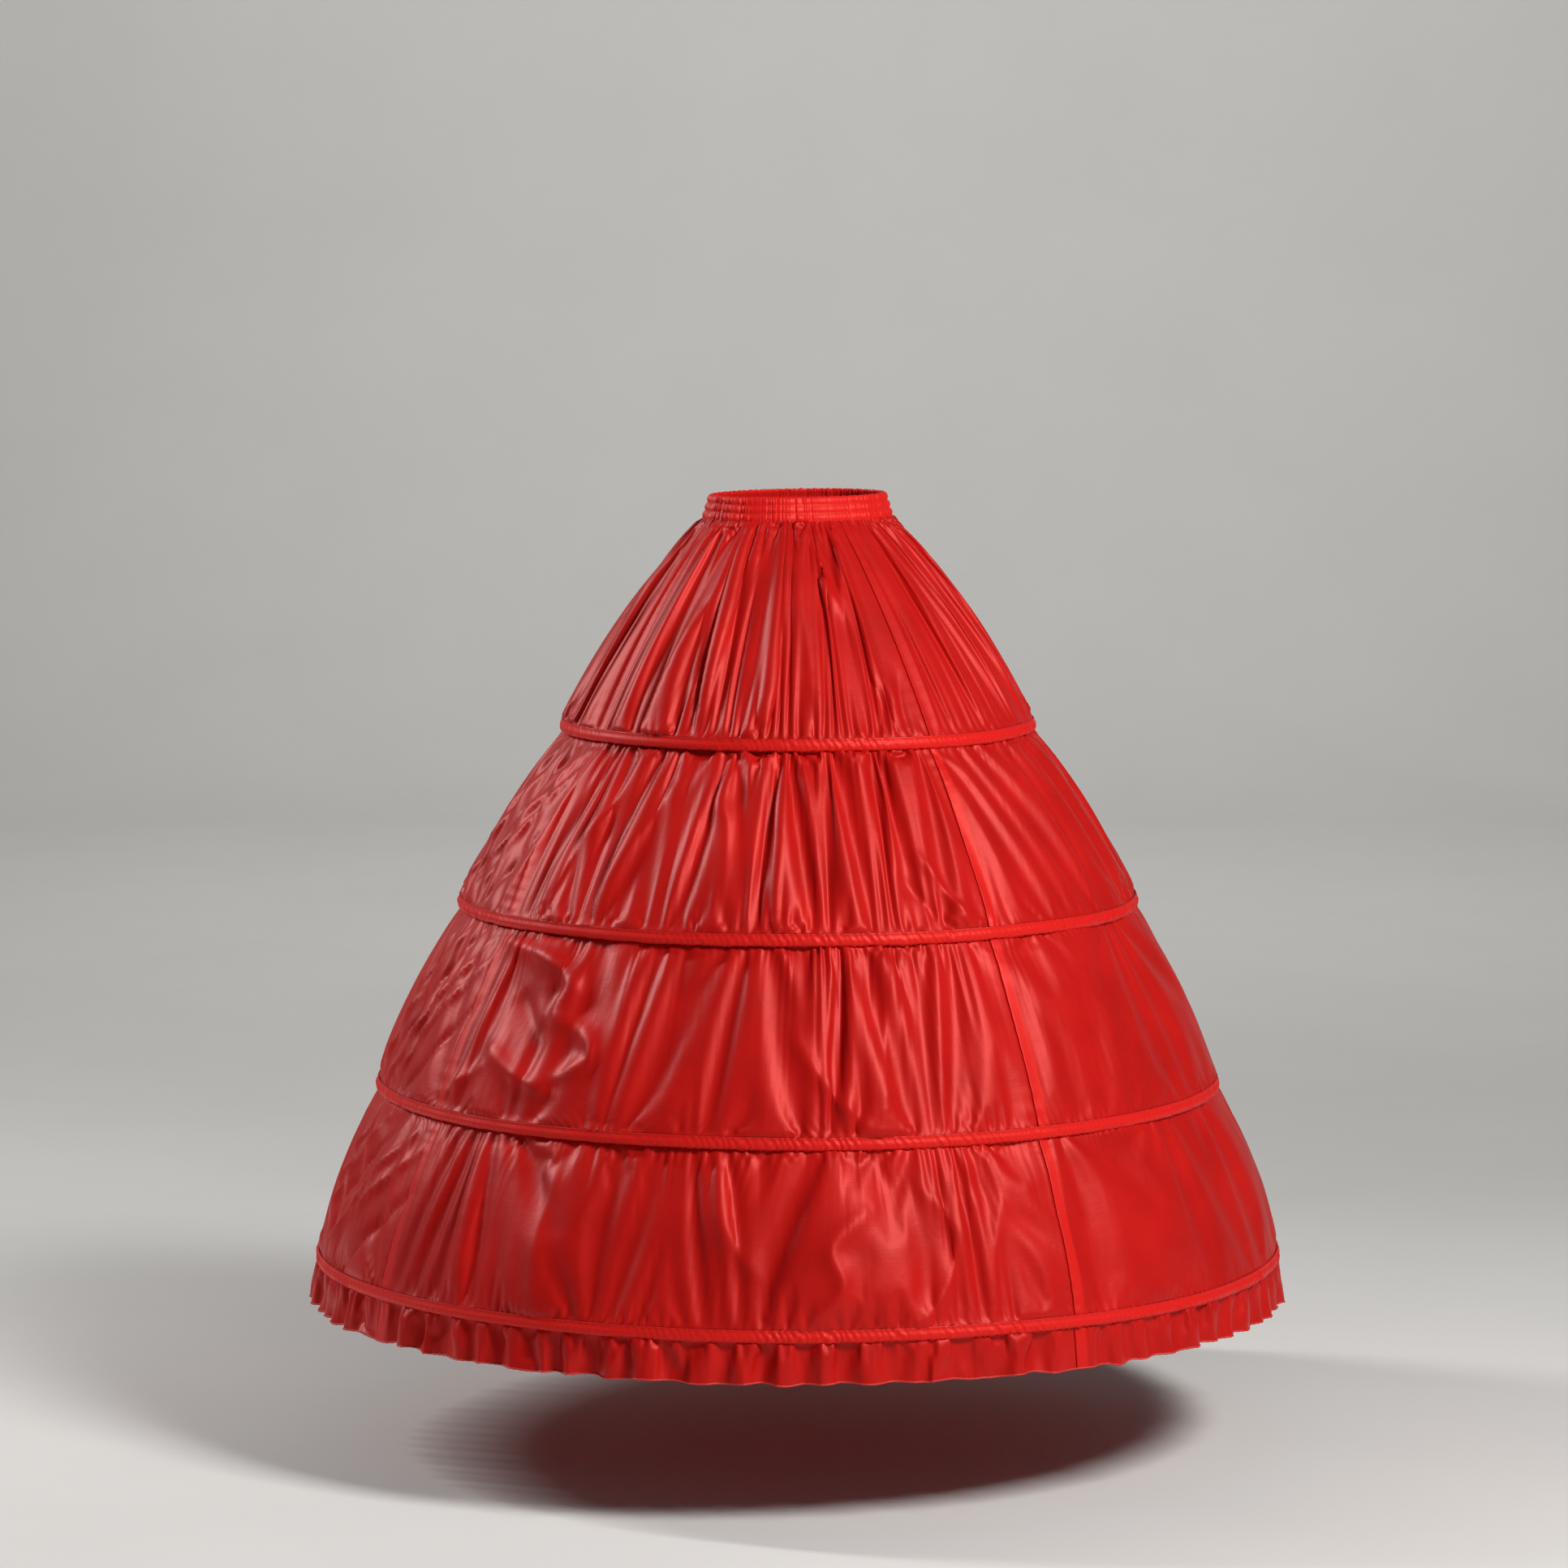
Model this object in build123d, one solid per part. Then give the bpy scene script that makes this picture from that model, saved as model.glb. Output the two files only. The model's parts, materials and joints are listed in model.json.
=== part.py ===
from build123d import *
from math import degrees
import os

# A four-hoop petticoat of red taffeta, as it hangs from the waist. Millimetres, +Z up. The
# origin is the centre of the waist at the band's top edge. The front is -Y, so the wearer's
# right is -X. Every tier is four panels, seamed at the front, the back and both sides.

# ---- cloth ----
cloth = 0.8                     # one layer as a stand-in solid: taffeta with its crinkle
seam_allowance = 13.0           # turned in at each upright seam, both to the same side

# ---- waistband: an elastic band of cloth with three stitched channels ----
waist_half_width = 116.0        # side to side, to the middle of the band at its top edge
waist_half_depth = 84.0         # front to back, to the same line
band_height = 30.0
band_flare = 9.0                # how far the lower edge stands out from the top edge
band_wall = 1.6                 # two layers of cloth, where a stitch line presses them flat
channel_swell = 0.9             # how far a channel rounds out of the wall on either face
channel_names = ("upper", "middle", "lower")
elastic_height = 7.6
elastic_thickness = 1.2
elastic_clearance = 0.2         # round the elastic, inside its channel

# ---- hoops 1 to 4, from the waist down ----
hoop_radii = (294.0, 422.5, 525.5, 602.5)      # to the middle of the steel
hoop_drops = (290.0, 510.0, 738.0, 953.0)      # of the steel's middle below the band's top
steel_thickness = 1.0
steel_height = 6.0
hoop_end_gap = 2.0              # between the two ends of a hoop, inside its joiner
joiner_length = 30.0
joiner_wall = 0.5
joiner_clearance = 0.1
joiner_angle = 75.0             # where the ends meet, from +X towards +Y: at the back

# ---- casings: the folded strip of cloth that each hoop is threaded through ----
casing_wall = 0.6
casing_play_thickness = 0.4     # on each side of the steel
casing_play_height = 0.9        # above and below the steel
casing_corner = 0.8
casing_stitch_height = 9.0      # of the strip's sewn top edge above the steel's middle
casing_opening = 44.0           # left unsewn round the joiner, so that the hoop goes in

# ---- tiers and ruffle ----
tier_1_mid_drop = 155.0         # where the top tier's middle section lies
tier_1_mid_half_width = 222.0
tier_1_mid_half_depth = 209.0
tier_bulge = 6.5                # how far tiers 2 to 4 round out from a straight cone
collar_drop = 5.0               # how far a tier runs straight down behind its casing
hem_radius = 610.0
hem_drop = 1007.0               # of the hem below the band's top
hem_fold = 8.0

# ---- worked out ----
hoop_heights = [-drop for drop in hoop_drops]
pocket_half = steel_thickness / 2 + casing_play_thickness + casing_wall
pocket_half_height = steel_height / 2 + casing_play_height + casing_wall
flange = 2 * casing_wall
channel_height = band_height / len(channel_names)
panel_starts = {"back_left": 0, "back_right": 90, "front_right": 180, "front_left": 270}
reach = 2 * hem_radius          # longer than anything that is cut
tall = 2 * hem_drop

os.makedirs("parts", exist_ok=True)


def write(shape, node):
    export_step(shape, f"parts/{node}.step")


# ---- waistband and its elastics ----
def band_point(across, down):
    """A point of the band's section, which leans out by band_flare from top to bottom."""
    return (across + band_flare * down / band_height, -down)


def round_the_waist(section):
    path = Ellipse(waist_half_width, waist_half_depth).face().outer_wire()
    return sweep(Plane.XZ * Pos(waist_half_width, 0) * section, path=path, is_frenet=True)


def channel_box(number, half, half_height):
    """A flat slot or strip in the middle of one channel, leaning as the band does."""
    middle = (number + 0.5) * channel_height
    corners = [(-half, -half_height), (half, -half_height), (half, half_height),
               (-half, half_height)]
    points = [band_point(across, middle + down) for across, down in corners]
    return make_face(Polyline(*points, close=True))


def band_section():
    half = band_wall / 2
    edges = []
    for number in range(len(channel_names)):
        top = number * channel_height
        middle = top + channel_height / 2
        bottom = top + channel_height
        for side in (1, -1):
            edges.append(ThreePointArc(band_point(side * half, top),
                                       band_point(side * (half + channel_swell), middle),
                                       band_point(side * half, bottom)))
    for level in (0, band_height):
        edges.append(Line(band_point(-half, level), band_point(half, level)))
    section = make_face(edges)
    for number in range(len(channel_names)):
        section -= channel_box(number, elastic_thickness / 2 + elastic_clearance,
                               elastic_height / 2 + elastic_clearance)
    return section


def make_waistband():
    write(round_the_waist(band_section()), "waistband")
    for number, name in enumerate(channel_names):
        strip = channel_box(number, elastic_thickness / 2, elastic_height / 2)
        write(round_the_waist(strip), f"waist_elastic_{name}")


# ---- hoops, joiners and casings ----
def ring(section, hoop, start, arc):
    """Turns a section, drawn about a hoop's steel, from one angle through an arc."""
    face = Plane.XZ * Pos(hoop_radii[hoop], hoop_heights[hoop]) * section
    return Rot(0, 0, start) * revolve(face, Axis.Z, revolution_arc=arc)


def broken_ring(section, hoop, gap):
    """A ring that is left open for a given length, centred on the joiner."""
    gap_angle = degrees(gap / hoop_radii[hoop])
    return ring(section, hoop, joiner_angle + gap_angle / 2, 360 - gap_angle)


def casing_section():
    outer = RectangleRounded(2 * pocket_half, 2 * pocket_half_height, casing_corner)
    edge = Pos(-pocket_half, 0) * Rectangle(flange, casing_stitch_height,
                                            align=(Align.MIN, Align.MIN))
    slot = Rectangle(2 * (pocket_half - casing_wall), 2 * (pocket_half_height - casing_wall))
    return outer + edge - slot


def make_hoop(hoop):
    number = hoop + 1
    steel = RectangleRounded(steel_thickness, steel_height, steel_thickness * 0.45)
    inside = Rectangle(steel_thickness + 2 * joiner_clearance,
                       steel_height + 2 * joiner_clearance)
    sleeve = RectangleRounded(steel_thickness + 2 * (joiner_clearance + joiner_wall),
                              steel_height + 2 * (joiner_clearance + joiner_wall),
                              joiner_wall * 0.9)
    write(broken_ring(steel, hoop, hoop_end_gap), f"hoop_{number}")
    arc = degrees(joiner_length / hoop_radii[hoop])
    write(ring(sleeve - inside, hoop, joiner_angle - arc / 2, arc), f"hoop_joiner_{number}")
    write(broken_ring(casing_section(), hoop, casing_opening), f"hoop_casing_{number}")


# ---- cloth panels ----
def hanging_line(above, foot, bulge, inset):
    """A tier's outline: straight down behind the casing above, then out to its foot."""
    radius = hoop_radii[above] - pocket_half - inset
    height = hoop_heights[above]
    collar_foot = (radius, height - collar_drop)
    end = (foot[0] - inset, foot[1])
    edges = [Line((radius, height + casing_stitch_height), collar_foot)]
    if bulge == 0:
        return edges + [Line(collar_foot, end)]
    slope = Vector(end[0] - collar_foot[0], end[1] - collar_foot[1])
    outward = Vector(-slope.Y, slope.X).normalized() * bulge
    middle = ((collar_foot[0] + end[0]) / 2 + outward.X, (collar_foot[1] + end[1]) / 2 + outward.Y)
    return edges + [ThreePointArc(collar_foot, middle, end)]


def turned_wall(outer, inner, *extra):
    """The solid between two outlines, turned right round the skirt."""
    edges = outer + inner + list(extra)
    edges.append(Line(outer[0] @ 0, inner[0] @ 0))
    return revolve(Plane.XZ * make_face(edges), Axis.Z)


def tier_wall(above):
    """Gives a tier's wall between two depths, each counted in layers of cloth."""
    below = above + 1
    foot = (hoop_radii[below] - pocket_half + flange,
            hoop_heights[below] + casing_stitch_height)

    def wall(outer_layer, inner_layer):
        outer = hanging_line(above, foot, tier_bulge, outer_layer * cloth)
        inner = hanging_line(above, foot, tier_bulge, inner_layer * cloth)
        return turned_wall(outer, inner, Line(outer[-1] @ 1, inner[-1] @ 1))
    return wall


def ruffle_wall(outer_layer, inner_layer):
    """The ruffle's wall; where it is one layer, its lower edge is turned up as a hem."""
    above = len(hoop_radii) - 1
    foot = (hem_radius, -hem_drop)
    outer = hanging_line(above, foot, 0, outer_layer * cloth)
    inner = hanging_line(above, foot, 0, inner_layer * cloth)
    if inner_layer - outer_layer > 1 or outer_layer > 0:
        return turned_wall(outer, inner, Line(outer[-1] @ 1, inner[-1] @ 1))
    slope = inner[-1]
    fold_top = slope @ (1 - hem_fold / slope.length)
    fold_in = fold_top - Vector(cloth, 0)
    toe = Vector(slope @ 1) - Vector(cloth, 0)
    inner[-1] = Line(slope @ 0, fold_top)
    fold = [Line(fold_top, fold_in), Line(fold_in, toe), Line(toe, outer[-1] @ 1)]
    return turned_wall(outer, inner, *fold)


def tier_1_core(inset):
    """Everything inside the top tier's surface: an oval at the waist, a circle at hoop 1."""
    top_gap = band_flare + cloth / 2 - inset
    foot_radius = hoop_radii[0] - pocket_half + flange - inset
    sections = [
        Pos(0, 0, -band_height) * Ellipse(waist_half_width + top_gap, waist_half_depth + top_gap),
        Pos(0, 0, -tier_1_mid_drop) * Ellipse(tier_1_mid_half_width - inset,
                                              tier_1_mid_half_depth - inset),
        Pos(0, 0, hoop_heights[0] + casing_stitch_height) * Circle(foot_radius),
    ]
    return loft(sections)


def tier_1_wall(outer_layer, inner_layer):
    return tier_1_core(outer_layer * cloth) - tier_1_core(inner_layer * cloth)


def block(x_from, x_to, y_from, y_to):
    """A tall upright block, for cutting one stretch out of a wall."""
    size = Box(x_to - x_from, y_to - y_from, tall, align=(Align.MIN, Align.MIN, Align.CENTER))
    return Pos(x_from, y_from) * size


def make_panels(wall, name):
    """Four panels of one wall. Each starts with its own allowance folded in behind it, and
    ends with a step inwards and an allowance that lies behind the next panel's own."""
    one_layer = wall(0, 1)
    two_layers = wall(0, 2)
    three_layers = wall(0, 3)
    third_layer = wall(2, 3)
    for side, start in panel_starts.items():
        turn = Rot(0, 0, start)
        folded = two_layers & (turn * block(0, reach, 0, seam_allowance))
        body = one_layer & (turn * block(cloth, reach, seam_allowance, reach))
        step = three_layers & (turn * block(0, cloth, 0, reach))
        tail = third_layer & (turn * block(-seam_allowance, 0, 0, reach))
        write(folded + body + step + tail, f"{name}_{side}")


make_waistband()
for hoop in range(len(hoop_radii)):
    make_hoop(hoop)
make_panels(tier_1_wall, "tier_1")
for above in range(len(hoop_radii) - 1):
    make_panels(tier_wall(above), f"tier_{above + 2}")
make_panels(ruffle_wall, "ruffle")
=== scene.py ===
# %% [markdown]
# # A four-hoop petticoat in red taffeta
# The skirt hangs from an elastic waistband. Four flat steel hoops run in casings sewn at the foot
# of each tier, and a short ruffle hangs below the last one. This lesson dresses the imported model:
# the hoops, joiners and elastics stay as they are and get their finishes, and every cloth piece
# is made again with its folds, gathers, seams and stitches.

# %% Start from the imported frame
import json
import math

import bpy
import numpy as np
from mathutils import Matrix, Vector

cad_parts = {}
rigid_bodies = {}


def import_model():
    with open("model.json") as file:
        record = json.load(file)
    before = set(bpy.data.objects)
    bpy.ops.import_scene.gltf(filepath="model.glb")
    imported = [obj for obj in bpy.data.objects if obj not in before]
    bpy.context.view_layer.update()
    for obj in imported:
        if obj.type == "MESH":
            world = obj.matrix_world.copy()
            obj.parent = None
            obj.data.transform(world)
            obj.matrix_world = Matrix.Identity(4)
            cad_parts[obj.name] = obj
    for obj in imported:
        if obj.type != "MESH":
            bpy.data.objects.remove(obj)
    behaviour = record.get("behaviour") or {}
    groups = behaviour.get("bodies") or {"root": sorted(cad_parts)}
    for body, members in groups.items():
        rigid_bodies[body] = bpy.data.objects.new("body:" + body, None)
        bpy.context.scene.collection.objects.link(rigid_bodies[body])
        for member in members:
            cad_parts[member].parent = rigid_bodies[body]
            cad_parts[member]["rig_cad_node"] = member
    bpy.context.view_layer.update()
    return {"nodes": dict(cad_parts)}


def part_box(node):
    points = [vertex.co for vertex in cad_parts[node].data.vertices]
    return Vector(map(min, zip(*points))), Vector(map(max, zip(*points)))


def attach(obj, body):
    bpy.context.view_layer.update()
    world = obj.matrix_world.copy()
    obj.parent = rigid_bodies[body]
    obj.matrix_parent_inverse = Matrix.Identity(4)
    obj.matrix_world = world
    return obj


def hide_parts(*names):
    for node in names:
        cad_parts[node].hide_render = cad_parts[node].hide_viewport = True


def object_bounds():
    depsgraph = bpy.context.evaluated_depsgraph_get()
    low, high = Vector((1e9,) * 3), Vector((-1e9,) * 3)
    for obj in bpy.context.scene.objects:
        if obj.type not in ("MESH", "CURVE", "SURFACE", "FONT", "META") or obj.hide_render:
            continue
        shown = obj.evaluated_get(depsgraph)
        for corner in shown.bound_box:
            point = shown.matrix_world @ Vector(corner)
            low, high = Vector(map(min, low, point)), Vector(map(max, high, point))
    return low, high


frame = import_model()
MM = 0.001
TURN = 2 * math.pi

# %% [markdown]
# ## Sizes read from the frame
# Nothing here is measured twice. The hoops' radii and heights, the waist and the hem all come
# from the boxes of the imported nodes, so a piece lands where the model says.

# %% Read the skirt's sizes
HOOPS = 4
STEEL_HALF = 0.5 * MM
hoop_radius = [(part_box(f"hoop_{n}")[1][0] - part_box(f"hoop_{n}")[0][0]) / 2 - STEEL_HALF
               for n in range(1, HOOPS + 1)]
hoop_z = [(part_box(f"hoop_{n}")[1][2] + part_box(f"hoop_{n}")[0][2]) / 2 for n in range(1, HOOPS + 1)]
band_low, band_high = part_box("waistband")
band_height = band_high[2] - band_low[2]
band_foot_x, band_foot_y = band_high[0], band_high[1]
hem_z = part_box("ruffle_front_left")[0][2]
hem_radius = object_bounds()[1][0]
STITCH_RISE = 9 * MM         # a casing is stitched this far above its hoop's middle
QUARTERS = ("front_right", "front_left", "back_left", "back_right")
print("hoop radii", [round(r, 4) for r in hoop_radius], "heights", [round(z, 3) for z in hoop_z])

# %% [markdown]
# ## Camera
# The viewer stands 8 m off the axis, to the wearer's right of the front, and a little above the
# waist. A long lens keeps the hoops' ovals as flat as they look from there.

# %% Place the camera
VIEW_TURN = math.radians(33)
CAMERA_DISTANCE = 8.0
CAMERA_HEIGHT = 0.48
CAMERA_PITCH = math.radians(6.03)
SENSOR = 36.0
LENS = 147.6
AXIS_SHIFT = -0.0088


def seen(right, near, up):
    """A point given as the viewer sees it: to the right, towards the camera, and up."""
    return (right * math.cos(VIEW_TURN) - near * math.sin(VIEW_TURN),
            -right * math.sin(VIEW_TURN) - near * math.cos(VIEW_TURN), up)


camera_data = bpy.data.cameras.new("view")
camera_data.sensor_width = SENSOR
camera_data.lens = LENS
camera_data.shift_x = AXIS_SHIFT
camera = bpy.data.objects.new("view", camera_data)
bpy.context.scene.collection.objects.link(camera)
camera.location = seen(0, CAMERA_DISTANCE, CAMERA_HEIGHT)
camera.rotation_euler = (math.pi / 2 - CAMERA_PITCH, 0, -VIEW_TURN)
bpy.context.scene.camera = camera
bpy.context.scene.view_settings.view_transform = "Standard"
print("camera at", [round(x, 2) for x in camera.location])

# %% [markdown]
# ## Light
# Taffeta shows its folds by its highlights. One large lamp could light it evenly, but the folds
# would go flat. So the key is a soft box high on the right, and a tall narrow one on the left,
# a little behind the skirt, draws bright streaks down the folds on that side.


# %% Set the lights
def linear(hex_colour):
    """A linear colour with alpha, from an sRGB hex value."""
    parts = [int(hex_colour[i:i + 2], 16) / 255 for i in (1, 3, 5)]
    return [c / 12.92 if c <= 0.04045 else ((c + 0.055) / 1.055) ** 2.4 for c in parts] + [1.0]


def soft_box(name, place, aim, width, height, watts):
    """A white area light. Its place and aim are given as the viewer sees them."""
    data = bpy.data.lights.new(name, "AREA")
    data.shape = "RECTANGLE"
    data.size = width
    data.size_y = height
    data.energy = watts
    lamp = bpy.data.objects.new(name, data)
    bpy.context.scene.collection.objects.link(lamp)
    lamp.location = seen(*place)
    to_aim = Vector(seen(*aim)) - lamp.location
    lamp.rotation_euler = to_aim.to_track_quat("-Z", "Y").to_euler()
    return lamp


soft_box("key", place=(2.5, 2.7, 2.3), aim=(0.25, 0.2, -0.5), width=1.2, height=1.2, watts=215)
soft_box("streak", place=(-3.1, -0.9, 1.5), aim=(-0.2, 0, -0.5), width=0.25, height=1.6, watts=78)
soft_box("fill", place=(0.3, 4.0, 0.4), aim=(0, 0, -0.6), width=2.4, height=1.6, watts=4)
soft_box("backdrop", place=(0, -4.0, 3.2), aim=(0, -8.4, 1.0), width=5.0, height=1.0, watts=130)
world = bpy.data.worlds.new("studio")
world.use_nodes = True
world.node_tree.nodes["Background"].inputs["Color"].default_value = linear("#eef0f4")
world.node_tree.nodes["Background"].inputs["Strength"].default_value = 0.075
bpy.context.scene.world = world

# %% [markdown]
# ## Materials
# One helper adds a node with its settings and links. Patterns read an attribute on the cloth
# that counts metres along and down the cut piece, so the weave follows every fold.


# %% A helper for nodes
def add_node(tree, kind, settings=None, **inputs):
    """Adds one node. Each input is a value or another node's output socket, and an input
    called i6 is the one at place 6, for sockets that share a name."""
    node = tree.nodes.new(kind)
    for name, value in (settings or {}).items():
        setattr(node, name, value)
    for name, value in inputs.items():
        socket = node.inputs[int(name[1:])] if name[0] == "i" and name[1:].isdigit() \
            else node.inputs[name.replace("_", " ")]
        if isinstance(value, bpy.types.NodeSocket):
            tree.links.new(value, socket)
        else:
            socket.default_value = value
    return node


def new_material(name):
    material = bpy.data.materials.new(name)
    material.use_nodes = True
    return material, material.node_tree, material.node_tree.nodes["Principled BSDF"]


# %% [markdown]
# Taffeta is a tight plain weave of smooth filament yarn. It is glossy along every fold and
# crackles into small creases. A single layer looks a shade darker than two, so seams and casings
# read as brighter, more saturated strips. One shader with two reds, mixed by an attribute, does
# this with no picture. The gloss is tinted, because the lamp's own colour would wash the red out.

# %% Taffeta
ACROSS_YARNS = 1 / (0.9 * MM) / 2.5     # real yarns are 0.2 mm apart; drawn coarser, to show
ALONG_YARNS = 12.0
SINGLE_LAYER = "#cc1713"
DOUBLE_LAYER = "#d41a16"
DEEP_RED = "#9a0806"


def taffeta(name, single, double, roughness):
    material, tree, shader = new_material(name)
    place = add_node(tree, "ShaderNodeAttribute", {"attribute_name": "cut_place"})
    doubled = add_node(tree, "ShaderNodeAttribute", {"attribute_name": "doubled"})
    cloud = add_node(tree, "ShaderNodeTexNoise", Vector=place.outputs["Vector"], Scale=9.0,
                     Detail=3.0, Roughness=0.55)
    uneven = add_node(tree, "ShaderNodeMix", {"data_type": "RGBA"}, i0=cloud.outputs["Fac"],
                      i6=linear(DEEP_RED), i7=linear(single))
    tint = add_node(tree, "ShaderNodeMix", {"data_type": "RGBA"}, i0=doubled.outputs["Fac"],
                    i6=uneven.outputs["Result"], i7=linear(double))
    yarns = []
    for scale in ((ALONG_YARNS, ACROSS_YARNS, 1.0), (ACROSS_YARNS, ALONG_YARNS, 1.0)):
        drawn_out = add_node(tree, "ShaderNodeMapping", Vector=place.outputs["Vector"], Scale=scale)
        yarns.append(add_node(tree, "ShaderNodeTexNoise", Vector=drawn_out.outputs["Vector"],
                              Scale=1.0, Detail=1.0))
    weave = add_node(tree, "ShaderNodeMath", {"operation": "ADD"}, i0=yarns[0].outputs["Fac"],
                     i1=yarns[1].outputs["Fac"])
    crackle = add_node(tree, "ShaderNodeTexNoise", Vector=place.outputs["Vector"], Scale=55.0,
                       Detail=4.0, Roughness=0.6, Distortion=0.6)
    creases = add_node(tree, "ShaderNodeBump", Strength=0.25, Distance=1.2 * MM,
                       Height=crackle.outputs["Fac"])
    threads = add_node(tree, "ShaderNodeBump", Strength=0.22, Distance=0.25 * MM,
                       Height=weave.outputs["Value"], Normal=creases.outputs["Normal"])
    tree.links.new(tint.outputs["Result"], shader.inputs["Base Color"])
    tree.links.new(threads.outputs["Normal"], shader.inputs["Normal"])
    shader.inputs["Roughness"].default_value = roughness
    shader.inputs["Specular IOR Level"].default_value = 0.7
    shader.inputs["Specular Tint"].default_value = linear("#ff8078")
    return material


cloth_finish = taffeta("red_taffeta", SINGLE_LAYER, DOUBLE_LAYER, 0.45)
casing_finish = taffeta("red_taffeta_doubled", DOUBLE_LAYER, DOUBLE_LAYER, 0.46)
print("materials", [m.name for m in bpy.data.materials])


# %% [markdown]
# The thread is polyester in the same red, matt beside the cloth, with a fine twist. The hoops are
# flat spring steel in a white plastic coat, their joiners are nickel plated, and the elastics are
# knitted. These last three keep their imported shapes, because those are right, and get only a
# finish, which reads Object coordinates since such a node has no cut cloth to follow.

# %% Thread, steel, joiner and elastic
def sewing_thread():
    material, tree, shader = new_material("red_polyester_thread")
    place = add_node(tree, "ShaderNodeTexCoord")
    twist = add_node(tree, "ShaderNodeTexNoise", Vector=place.outputs["Object"],
                     Scale=1 / (1.2 * MM), Detail=1.0)
    tint = add_node(tree, "ShaderNodeMix", {"data_type": "RGBA"}, i0=twist.outputs["Fac"],
                    i6=linear("#a81613"), i7=linear("#d8302a"))
    tree.links.new(tint.outputs["Result"], shader.inputs["Base Color"])
    shader.inputs["Roughness"].default_value = 0.55
    return material


def coated_steel():
    """Flat spring steel dipped in white plastic: satin, with faint drawing lines."""
    material, tree, shader = new_material("white_coated_spring_steel")
    place = add_node(tree, "ShaderNodeTexCoord")
    drawn = add_node(tree, "ShaderNodeTexNoise", Vector=add_node(
        tree, "ShaderNodeMapping", Vector=place.outputs["Object"],
        Scale=(8.0, 8.0, 1 / (0.8 * MM))).outputs["Vector"], Scale=1.0, Detail=2.0)
    # Where the drawing lines dip, the coat is painted a shade darker: painted shade in their hollows.
    tint = add_node(tree, "ShaderNodeMix", {"data_type": "RGBA"}, i0=drawn.outputs["Fac"],
                    i6=linear("#d9d8d3"), i7=linear("#f1f0ec"))
    lines = add_node(tree, "ShaderNodeBump", Strength=0.2, Distance=0.1 * MM,
                     Height=drawn.outputs["Fac"])
    tree.links.new(tint.outputs["Result"], shader.inputs["Base Color"])
    tree.links.new(lines.outputs["Normal"], shader.inputs["Normal"])
    shader.inputs["Roughness"].default_value = 0.35
    return material


def plated_metal():
    """The pressed joiner sleeve: nickel plate with tool marks."""
    material, tree, shader = new_material("nickel_plated_steel")
    place = add_node(tree, "ShaderNodeTexCoord")
    marks = add_node(tree, "ShaderNodeTexNoise", Vector=place.outputs["Object"],
                     Scale=1 / (1.5 * MM), Detail=3.0)
    rough = add_node(tree, "ShaderNodeMapRange", Value=marks.outputs["Fac"], To_Min=0.22,
                     To_Max=0.42)
    tree.links.new(rough.outputs["Result"], shader.inputs["Roughness"])
    shader.inputs["Base Color"].default_value = linear("#c3c2bd")
    shader.inputs["Metallic"].default_value = 1.0
    return material


def knitted_elastic():
    """White elastic: matt ribs of covered rubber, 1 mm apart."""
    material, tree, shader = new_material("white_knitted_elastic")
    place = add_node(tree, "ShaderNodeTexCoord")
    ribs = add_node(tree, "ShaderNodeTexWave", {"bands_direction": "Z"},
                    Vector=place.outputs["Object"], Scale=1 / (20 * MM), Distortion=1.0)
    # The grooves between the ribs are painted a shade darker than their crests: painted shade.
    tint = add_node(tree, "ShaderNodeMix", {"data_type": "RGBA"}, i0=ribs.outputs["Fac"],
                    i6=linear("#cfccc4"), i7=linear("#f0eee8"))
    bump = add_node(tree, "ShaderNodeBump", Strength=0.5, Distance=0.2 * MM,
                    Height=ribs.outputs["Fac"])
    tree.links.new(tint.outputs["Result"], shader.inputs["Base Color"])
    tree.links.new(bump.outputs["Normal"], shader.inputs["Normal"])
    shader.inputs["Roughness"].default_value = 0.8
    return material


thread_finish = sewing_thread()
node_finishes = {"hoop_joiner": plated_metal(), "waist_elastic": knitted_elastic()}
steel_finish = coated_steel()
for name, node in frame["nodes"].items():
    finish = next((f for start, f in node_finishes.items() if name.startswith(start)), None)
    if finish is None and name in [f"hoop_{n}" for n in range(1, HOOPS + 1)]:
        finish = steel_finish
    if finish:
        node.data.materials.clear()
        node.data.materials.append(finish)
print("finished nodes", [n for n in frame["nodes"] if n.startswith(("hoop_", "waist_el"))])

# %% [markdown]
# ## How the cloth is made
# Each tier is a ring of cloth that is longer than the hoops it is sewn to. The ring starts at its
# cut size, its sewn rows are drawn in to the hoops, and Blender's Cloth finds the folds in
# between, as a gathering thread does. It could be sculpted fold by fold, but folds that share one
# cloth are hard to draw and easy to find by simulation. A tier's surface is set out first: a
# straight wall from sewn row to sewn row, with a slight swell between them.


# %% The smooth surface that a tier follows
FOOT_INSIDE = 0.7 * MM       # how far a foot row lies inside its hoop's line
TOP_INSIDE = 1.9 * MM        # the next tier starts behind that row
TOP_DROP = 2 * MM
HEM_INSIDE = 3 * MM
RUFFLE = 5                   # the ruffle is made as a fifth tier


def tier_ends(tier):
    """Radius of a tier's top row and foot row, then their heights, in metres."""
    if tier == 1:
        return band_foot_x, hoop_radius[0] - FOOT_INSIDE, band_low[2], hoop_z[0] + STITCH_RISE
    top_radius = hoop_radius[tier - 2] - TOP_INSIDE
    top_z = hoop_z[tier - 2] - TOP_DROP
    if tier == RUFFLE:
        return top_radius, hem_radius - HEM_INSIDE, top_z, hem_z
    return top_radius, hoop_radius[tier - 1] - FOOT_INSIDE, top_z, hoop_z[tier - 1] + STITCH_RISE


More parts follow.
